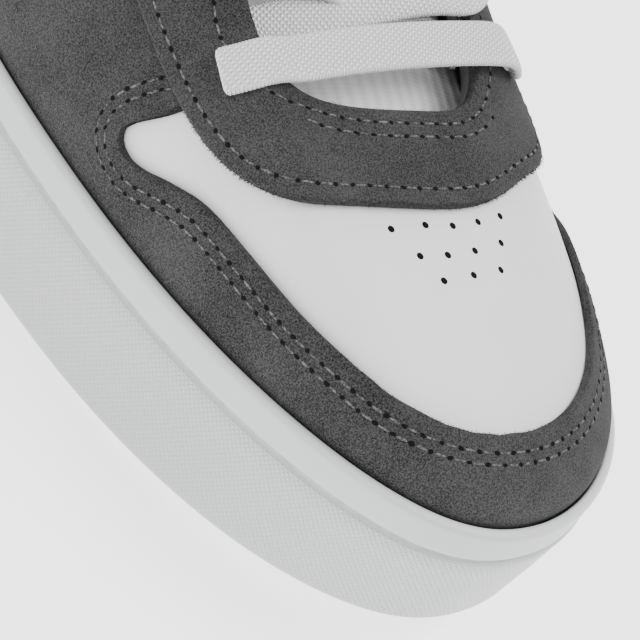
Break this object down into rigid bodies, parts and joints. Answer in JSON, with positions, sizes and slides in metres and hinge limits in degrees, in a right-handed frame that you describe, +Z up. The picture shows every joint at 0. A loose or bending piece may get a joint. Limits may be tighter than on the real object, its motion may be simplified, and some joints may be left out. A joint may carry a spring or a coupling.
{
  "type": "skateboarding shoe",
  "caption": "Low lace-up skateboarding shoe for the right foot: cupsole with a textured sidewall, pale vamp panel, grey suede overlays and flat laces",
  "frame": {"origin": "on the floor, under the middle of the shoe's plan", "axes": "+X to the toe, +Y to the inner side of this right shoe, +Z up"},
  "size_m": [0.2976, 0.1042, 0.1254],
  "materials": {
    "sole_rubber": "matt light grey moulded rubber",
    "insole_cloth": "grey woven cloth over foam",
    "white_leather": "smooth off-white leather, slightly sheened",
    "grey_suede": "dark grey suede with a short nap",
    "collar_cloth": "dark grey padded cloth",
    "tongue_knit": "off-white ribbed knit",
    "lace_weave": "white flat woven cord"
  },
  "bodies": {
    "root": {"cupsole": "sole_rubber", "insole": "insole_cloth", "upper": "white_leather", "mudguard": "grey_suede", "eyestay": "grey_suede", "heel_counter": "grey_suede", "collar_pad": "collar_cloth", "tongue": "tongue_knit", "lace_bar": "lace_weave", "lace_crossing_1": "lace_weave", "lace_crossing_2": "lace_weave", "lace_crossing_3": "lace_weave", "lace_crossing_4": "lace_weave", "lace_crossing_5": "lace_weave"}
  },
  "joints": []
}
